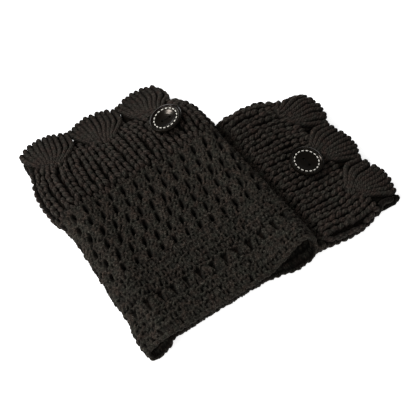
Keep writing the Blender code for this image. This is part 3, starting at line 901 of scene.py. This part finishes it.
def columns(length, fine, coarse):
    """Places round the tube: closely spaced above, wider underneath."""
    up = np.linspace(-0.02, 0.52, int(0.54 * length / fine), endpoint=False)
    down = np.linspace(0.52, 0.98, int(0.46 * length / coarse), endpoint=False)
    return np.concatenate([up, down])


LOOP = [(0.0, -1.9, -0.5, 0.75), (0.15, -0.7, 0.75, 1.0), (-0.1, 0.9, 0.75, 1.0), (0.0, 1.9, -0.5, 0.75)]


def openwork_stitches(side):
    cloth = CLOTH[side]
    net = Relief(cloth, HEM_TOP - 1.0, BAND_BASE - 1.5, -0.7)
    hand = CUFFS[side]["hand"]
    cells = np.arange(HOLES)
    rounded = [(0.8, -6.2, -0.3, 0.85), (2.0, -3.4, 0.35, 1.0), (2.6, 0.0, 0.55, 1.0),
               (2.0, 3.4, 0.35, 1.0), (0.8, 6.2, -0.3, 0.85)]
    post = [(0.0, -6.0, -0.3, 0.85), (-0.25, -3.0, 0.3, 1.0), (0.1, 0.0, 0.5, 1.05),
            (-0.2, 3.0, 0.3, 1.0), (0.0, 6.0, -0.3, 0.85)]
    for mid, place in HOLE_ROWS:
        centre = (cells + place) / HOLES
        middle = centre + 0.5 / HOLES
        for m in (-1.0, 1.0):
            net.lay(centre, mid, rounded, 1.30, mirror=m, turn=HOLE_SLANT, jitter=0.55, depth=0.2)
        net.lay(middle, mid, post, 1.35, turn=HOLE_SLANT, jitter=0.9, depth=0.2)
        for across, along, turn, bump in (
                (-1.0, 4.4, 38, 0.35), (1.2, 3.6, -34, 0.25), (-0.9, 1.6, -36, 0.5),
                (1.1, 0.4, 40, 0.45), (-1.1, -1.5, 34, 0.45), (0.9, -2.8, -38, 0.4),
                (-0.8, -4.4, -34, 0.3)):
            net.lay(middle + across / net.length, mid + along, LOOP, 1.08, turn=turn, jitter=1.15,
                    bump=bump, twist=1.3, depth=0.14)
    for y in RIDGES + (60.0 - 5.6,):
        k = np.arange(84) / 84
        for m, along in ((-1.0, 1.1), (1.0, -1.1)):
            net.lay(k + (0.5 / 84 if m > 0 else 0), y + along, LOOP, 1.05, turn=40 * m * hand, size=0.95,
                    jitter=1.0, bump=0.4, twist=1.3, depth=0.14)
    for mid, place in HOLE_ROWS:
        for k in cells:
            net.hole([(k + place) / HOLES + RNG.normal(0, 0.25) / net.length], mid + RNG.normal(0, 0.3),
                     RNG.uniform(0.95, 1.25), RNG.uniform(1.6, 2.2), HOLE_SLANT + RNG.normal(0, 6))
    return net


HEM_ROWS = (
    # y, stitches round, size, lean
    (54.4, 84, 1.00, 1.0), (48.4, 84, 1.00, -1.0), (42.4, 84, 1.00, 1.0), (36.6, 84, 1.00, -1.0),
    (15.4, 76, 1.05, 1.0), (9.4, 72, 1.10, -1.0), (3.6, 64, 1.15, 1.0),
)
SLITS = 28
SLIT_PLACE = 0.95


def hem_stitches(side):
    """The outer face's stitches, the inner face's stitches and the firm edge's yarn."""
    cloth = CLOTH[side]
    outer = Relief(cloth, 0.6, HEM_TOP + 1.0, -0.5)
    inner = Relief(cloth, 0.6, 34.0, 1.45)
    leg = [(0.35, -2.9, -0.3, 0.85), (0.65, -1.2, 0.7, 1.0), (1.0, 0.8, 0.75, 1.0), (1.3, 2.5, -0.2, 0.85)]
    for row, (y, count, size, lean) in enumerate(HEM_ROWS):
        k = (np.arange(count) + 0.37 * (row % 3)) / count
        for m in (-1.0, 1.0):
            outer.lay(k, y, leg, 1.08 * size, mirror=m, turn=7 * lean, size=size, jitter=1.2, depth=0.2)
        for part, turn, m in ((0.25, 58, 1.0), (0.75, -58, 1.0)):
            outer.lay(k + part / count, y + 3.0 * size, LOOP, 1.0 * size, turn=turn * lean, size=0.9,
                      jitter=1.5, bump=0.4, twist=1.3, depth=0.2)
    # the row of open clusters
    centre = (np.arange(SLITS) + SLIT_PLACE + 0.5) / SLITS
    tall = [(0.0, -6.2, -0.4, 0.85), (0.1, -3.0, 0.45, 1.0), (0.0, 0.0, 0.8, 1.0), (0.1, 3.0, 0.45, 1.0),
            (0.0, 6.0, -0.4, 0.85)]
    for off, lean in ((-3.0, -13.0), (-1.0, -4.5), (1.0, 4.5), (3.0, 13.0)):
        outer.lay(centre + off / 283.0, 26.2, tall, 1.22, turn=lean, jitter=1.2, depth=0.2)
    for across, along, turn in ((-1.9, -2.2, 40), (0.4, -1.2, -40), (2.1, -2.4, -36),
                                (-0.9, 1.0, 44), (0.9, 2.2, -44), (-0.4, 3.6, 38)):
        outer.lay(centre + across / 283.0, 26.2 + along, LOOP, 1.0, turn=turn, jitter=1.8, bump=0.45,
                  depth=0.2)
    for y in (20.2, 32.2):
        for turn, start in ((52, 0.0), (-52, 0.5)):
            k = (np.arange(84) + start) / 84
            outer.lay(k, y, LOOP, 1.02, jitter=1.5, turn=turn, bump=0.3, depth=0.2)
    # plain rows inside
    for row, y in enumerate(np.arange(4.0, 34.0, 5.9)):
        k = (np.arange(76) + 0.5 * (row % 2)) / 76
        for m in (-1.0, 1.0):
            inner.lay(k, y, leg, 1.1, mirror=m, jitter=0.8, bump=0.5)
    # firm edge: a chain that runs over the rim
    edge = Yarn(cloth)
    k = (np.arange(58) + 0.5) / 58
    rim = smooth_path([(-2.9, 0.9, 0.3, 0.65), (-1.2, -0.5, 0.9, 1.0), (1.0, -0.9, 0.4, 1.05),
                       (2.9, 0.2, -0.6, 0.7)], 8)
    # the rim's painted shade starts low, so the rim is painted lighter than the stitches
    edge.lay(k, 1.1, rim, 1.45, sides=9, jitter=0.5, depth=0.11, twist=0.8, lit=(-2.4, 1.2))
    rim2 = rim.copy()
    rim2[:, 2] *= -1.0
    edge.lay(k + 0.5 / 58, 1.1, rim2, 1.4, sides=8, jitter=0.5, depth=0.11, twist=0.8,
             lit=(-3.4, 0.6))
    return outer, inner, edge


def rows(lo, hi, step):
    return list(np.linspace(lo, hi, max(2, int(round((hi - lo) / step)) + 1)))


for side in ("front", "rear"):
    cloth, cuff = CLOTH[side], CUFFS[side]
    shares = np.arange(168) / 168
    round_mm = float(cloth.round_length(90.0))

    hem_core = sheet_tube(f"{side}_hem_core", cloth, rows(1.2, HEM_TOP - 0.2, 5.0), -1.5, -0.3)
    outer, inner, edge = hem_stitches(side)
    # the rear tube lies under the front one here, so its rows are meshed wider
    fine, coarse = (0.50, 1.1) if side == "front" else (0.8, 1.2)
    hem_yarn = outer.build(f"{side}_hem_yarn", YARN_HEM, columns(outer.length, fine, coarse), fine,
                           (0.0, 2.7), tuck=HEM_TOP + 1.0)
    # the inner face's painted shade starts higher, so it is painted darker than the outer face
    hem_inside = inner.build(f"{side}_hem_inside", YARN_HEM, columns(outer.length, 0.9, 0.9), 0.9,
                             (1.3, 2.8), flip=True)
    hem_edge = edge.build(f"{side}_hem_edge", YARN_HEM)
    mesh_core = openwork_sheet(f"{side}_openwork_core", cloth, -1.6, -0.35)
    net = openwork_stitches(side)
    fine, coarse = (0.48, 0.85) if side == "front" else (0.6, 1.0)
    mesh_yarn = net.build(f"{side}_openwork_yarn", YARN_MESH, columns(net.length, fine, coarse), fine,
                          (0.0, 2.7), tuck=HEM_TOP - 1.0)

    valley = 1.0 - fan_wave(cuff, shares)
    top_edge = fan_edge(cuff, shares) - 3.2 - 17.0 * np.clip((valley - 0.76) / 0.20, 0, 1) ** 1.5
    band_rows = rows(BAND_BASE + 0.2, 172.0, 4.0) + [172.0 + (top_edge - 172.0) * f
                                                     for f in (0.2, 0.4, 0.6, 0.8, 1.0)]
    band_core = sheet_tube(f"{side}_band_core", cloth, band_rows, -1.9, -0.5)
    band = band_stitches(side)
    band_yarn = band.build(f"{side}_band_yarn", YARN_BAND)
    print(side, "triangles", outer.faces, inner.faces, edge.triangles(), net.faces, band.triangles())

    for core, stitches, kind, name, length in (
            (hem_core, [hem_yarn, hem_inside, hem_edge], "hem", "hem_border", 0.057),
            (mesh_core, [mesh_yarn], "openwork", "openwork_tube", 0.070),
            (band_core, [band_yarn], "band", "cable_band", 0.076)):
        for piece in [core] + stitches:
            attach(piece, "root")
        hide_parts(f"{side}_{name}")


# ------------------------------------------------------------------ buttons
def button_plastic():
    m = bpy.data.materials.new("button_gloss")
    m.use_nodes = True
    t = m.node_tree
    bsdf = t.nodes["Principled BSDF"]
    bsdf.inputs["Specular IOR Level"].default_value = 0.25
    bsdf.inputs["Specular Tint"].default_value = (1.0, 0.86, 0.74, 1.0)
    bsdf.inputs["Coat Weight"].default_value = 0.0
    bsdf.inputs["Coat Roughness"].default_value = 0.08
    coord = t.nodes.new("ShaderNodeTexCoord")
    n1 = t.nodes.new("ShaderNodeTexNoise")
    n1.inputs["Scale"].default_value = 260.0
    n1.inputs["Detail"].default_value = 4.0
    t.links.new(coord.outputs["Object"], n1.inputs["Vector"])
    r = t.nodes.new("ShaderNodeValToRGB")
    r.color_ramp.elements[0].position, r.color_ramp.elements[0].color = 0.35, (0.0014, 0.0010, 0.0006, 1)
    r.color_ramp.elements[1].position, r.color_ramp.elements[1].color = 0.70, (0.0032, 0.0024, 0.0015, 1)
    t.links.new(n1.outputs["Fac"], r.inputs["Fac"])
    t.links.new(r.outputs["Color"], bsdf.inputs["Base Color"])
    n2 = t.nodes.new("ShaderNodeTexNoise")
    n2.inputs["Scale"].default_value = 900.0
    n2.inputs["Detail"].default_value = 3.0
    t.links.new(coord.outputs["Object"], n2.inputs["Vector"])
    mr = t.nodes.new("ShaderNodeMapRange")
    mr.inputs["To Min"].default_value = 0.16
    mr.inputs["To Max"].default_value = 0.30
    t.links.new(n2.outputs["Fac"], mr.inputs["Value"])
    t.links.new(mr.outputs["Result"], bsdf.inputs["Roughness"])
    b = t.nodes.new("ShaderNodeBump")
    b.inputs["Strength"].default_value = 0.12
    b.inputs["Distance"].default_value = 0.0001
    t.links.new(n2.outputs["Fac"], b.inputs["Height"])
    t.links.new(b.outputs["Normal"], bsdf.inputs["Normal"])
    return m


def thread_material(name, dark, light):
    m = bpy.data.materials.new(name)
    m.use_nodes = True
    t = m.node_tree
    bsdf = t.nodes["Principled BSDF"]
    bsdf.inputs["Specular IOR Level"].default_value = 0.08
    coord = t.nodes.new("ShaderNodeTexCoord")
    w = t.nodes.new("ShaderNodeTexWave")
    w.inputs["Scale"].default_value = 900.0
    w.inputs["Distortion"].default_value = 2.0
    w.wave_type = "BANDS"
    w.bands_direction = "DIAGONAL"
    t.links.new(coord.outputs["Object"], w.inputs["Vector"])
    r = t.nodes.new("ShaderNodeValToRGB")
    r.color_ramp.elements[0].position, r.color_ramp.elements[0].color = 0.2, (*dark, 1)
    r.color_ramp.elements[1].position, r.color_ramp.elements[1].color = 0.8, (*light, 1)
    t.links.new(w.outputs["Fac"], r.inputs["Fac"])
    t.links.new(r.outputs["Color"], bsdf.inputs["Base Color"])
    mr = t.nodes.new("ShaderNodeMapRange")
    mr.inputs["To Min"].default_value = 0.55
    mr.inputs["To Max"].default_value = 0.8
    t.links.new(w.outputs["Fac"], mr.inputs["Value"])
    t.links.new(mr.outputs["Result"], bsdf.inputs["Roughness"])
    b = t.nodes.new("ShaderNodeBump")
    b.inputs["Strength"].default_value = 0.4
    b.inputs["Distance"].default_value = 0.0001
    t.links.new(w.outputs["Fac"], b.inputs["Height"])
    t.links.new(b.outputs["Normal"], bsdf.inputs["Normal"])
    return m


GLOSS = button_plastic()
DASH = thread_material("dash_cream", (0.60, 0.57, 0.50), (0.84, 0.81, 0.74))
THREAD = thread_material("button_thread", (0.0012, 0.0010, 0.0008), (0.0030, 0.0025, 0.0020))

BUTTONS = {
    "front": {"face": (-0.301, 0.191, 0.934), "spin": -13.0, "first": 0.20},
    "rear": {"face": (0.076, -0.087, 0.993), "spin": 95.0, "first": 0.80},
}
DASHES = 18
DASH_RING = 9.7
DASH_LEDGE = 3.40


def capsule(path, radius, sides, flat):
    """Rounded short bar along local points (millimetres), as vertices and faces."""
    p = np.asarray(path, float)
    k = len(p)
    tan = np.gradient(p, axis=0)
    tan /= np.linalg.norm(tan, axis=1)[:, None]
    up = np.array([0, 0, 1.0])
    nor = up - (tan @ up)[:, None] * tan
    nor /= np.linalg.norm(nor, axis=1)[:, None]
    bi = np.cross(tan, nor)
    f = np.linspace(-1, 1, k)
    rad = radius * np.sqrt(np.clip(1 - 0.86 * np.abs(f) ** 6, 0.05, 1))
    ang = np.arange(sides) * 2 * np.pi / sides
    ringp = (p[:, None] + (rad[:, None] * np.cos(ang) * flat)[..., None] * nor[:, None]
             + (rad[:, None] * np.sin(ang))[..., None] * bi[:, None])
    verts = np.vstack([ringp.reshape(-1, 3), p[0] - tan[0] * radius * 0.15, p[-1] + tan[-1] * radius * 0.15])
    a = np.arange(sides)
    b = (a + 1) % sides
    quads = np.concatenate([np.stack([i * sides + a, i * sides + b, (i + 1) * sides + b,
                                      (i + 1) * sides + a], 1) for i in range(k - 1)])
    tris = np.concatenate([np.stack([b, a, np.full(sides, k * sides)], 1),
                           np.stack([(k - 1) * sides + a, (k - 1) * sides + b,
                                     np.full(sides, k * sides + 1)], 1)])
    return verts, quads, tris


def joined(name, parts, world, mat):
    verts, quads, tris, at = [], [], [], 0
    for v, q, t in parts:
        verts.append(v)
        quads.append(q + at)
        tris.append(t + at)
        at += len(v)
    return make_mesh(name, world(np.concatenate(verts)),
                     [np.concatenate(quads), np.concatenate(tris)], None, mat)


for side, spec in BUTTONS.items():
    ob = frame["nodes"][f"{side}_button"]
    ob.data.materials.clear()
    ob.data.materials.append(GLOSS)
    face = Vector(spec["face"]).normalized()
    lateral = (Vector((1, 0, 0)) - face * face.x).normalized()
    upward = face.cross(lateral)
    pts = np.unique(np.array([v.co[:] for v in ob.data.vertices]).round(7), axis=0)
    fvec = np.array(face)
    low, high = (pts @ fvec).min(), (pts @ fvec).max()
    rim = pts[(pts @ fvec) > high - 0.0003]
    centre = rim.mean(0)
    origin = centre + fvec * (low - centre @ fvec)
    a = math.radians(spec["spin"])
    ex = np.array(lateral) * math.cos(a) + np.array(upward) * math.sin(a)
    ey = np.cross(fvec, ex)

    def world(v, origin=origin, ex=ex, ey=ey, fvec=fvec):
        return origin + (v[:, :1] * ex + v[:, 1:2] * ey + v[:, 2:] * fvec) * MM

    dashes = []
    for k in range(DASHES):
        mid = 2 * math.pi * (k + spec["first"]) / DASHES
        sweep = 1.0 / DASH_RING
        arc = [(DASH_RING * math.cos(mid + q), DASH_RING * math.sin(mid + q), DASH_LEDGE)
               for q in np.linspace(-sweep, sweep, 9)]
        dashes.append(capsule(arc, 0.46, 10, 0.5))
    ring_piece = joined(f"{side}_button_dashes", dashes, world, DASH)
    sew = []
    for dy in (-0.32, 0.32):
        bar = [(-3.4, dy, 0.3), (-3.1, dy, 1.2), (-2.4, dy, 1.86), (0.0, dy, 1.86), (2.4, dy, 1.86),
               (3.1, dy, 1.2), (3.4, dy, 0.3)]
        sew.append(capsule(smooth_path([(*p, 1.0) for p in bar], 21)[:, :3], 0.26, 8, 1.0))
    thread = joined(f"{side}_button_thread", sew, world, THREAD)
    for piece in (ring_piece, thread):
        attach(piece, "root")


# ------------------------------------------------------------------ floor, light, camera
def floor_material():
    m = bpy.data.materials.new("pale_floor")
    m.use_nodes = True
    bsdf = m.node_tree.nodes["Principled BSDF"]
    bsdf.inputs["Base Color"].default_value = (0.93, 0.93, 0.93, 1.0)
    bsdf.inputs["Roughness"].default_value = 0.9
    bsdf.inputs["Specular IOR Level"].default_value = 0.1
    bsdf.inputs["Emission Color"].default_value = (1.0, 1.0, 1.0, 1.0)
    bsdf.inputs["Emission Strength"].default_value = 0.75
    return m


bpy.ops.mesh.primitive_plane_add(size=8.0, location=(0, 0, -0.0006))
floor = bpy.context.object
floor.name = "floor"
floor.data.materials.append(floor_material())

world_bg = bpy.data.worlds.new("studio")
bpy.context.scene.world = world_bg
world_bg.use_nodes = True
bg = world_bg.node_tree.nodes["Background"]
bg.inputs["Color"].default_value = (1.0, 1.0, 1.0, 1.0)
bg.inputs["Strength"].default_value = 0.18


def area_light(name, place, target, size, power, colour=(1, 1, 1)):
    data = bpy.data.lights.new(name, "AREA")
    data.shape = "RECTANGLE"
    data.size, data.size_y = size
    data.energy = power
    data.color = colour
    ob = bpy.data.objects.new(name, data)
    bpy.context.scene.collection.objects.link(ob)
    ob.location = place
    ob.rotation_euler = (Vector(target) - Vector(place)).to_track_quat("-Z", "Y").to_euler()
    return ob


area_light("key", (-1.15, 1.25, 1.25), (0, 0, 0), (0.60, 0.60), 41.0)
area_light("fill", (-1.2, -0.6, 1.1), (0, 0, 0), (0.6, 0.6), 6.0)
area_light("front", (-0.3, -1.4, 0.9), (0, 0, 0), (0.4, 0.4), 4.0)
area_light("side", (-1.5, 0.4, 0.5), (0, 0, 0), (0.3, 0.3), 3.0)

cam_data = bpy.data.cameras.new("camera")
cam_data.sensor_width = 36.0
cam_data.lens = 36.0 * 785.56 / 416.0
camera = bpy.data.objects.new("camera", cam_data)
bpy.context.scene.collection.objects.link(camera)
elevation, azimuth = math.radians(56.3472), math.radians(-34.5138)
back = Vector((math.sin(azimuth) * math.cos(elevation), -math.cos(azimuth) * math.cos(elevation),
               math.sin(elevation)))
target = Vector(((PAIR_X + 29.602) * MM, (PAIR_Y + 79.372) * MM, 0.0))
camera.location = target + back * 0.60258
camera.rotation_euler = (-back).to_track_quat("-Z", "Y").to_euler()
cam_data.clip_start, cam_data.clip_end = 0.01, 20.0
bpy.context.scene.camera = camera
bpy.context.scene.view_settings.view_transform = "Standard"
bpy.context.scene.view_settings.look = "None"
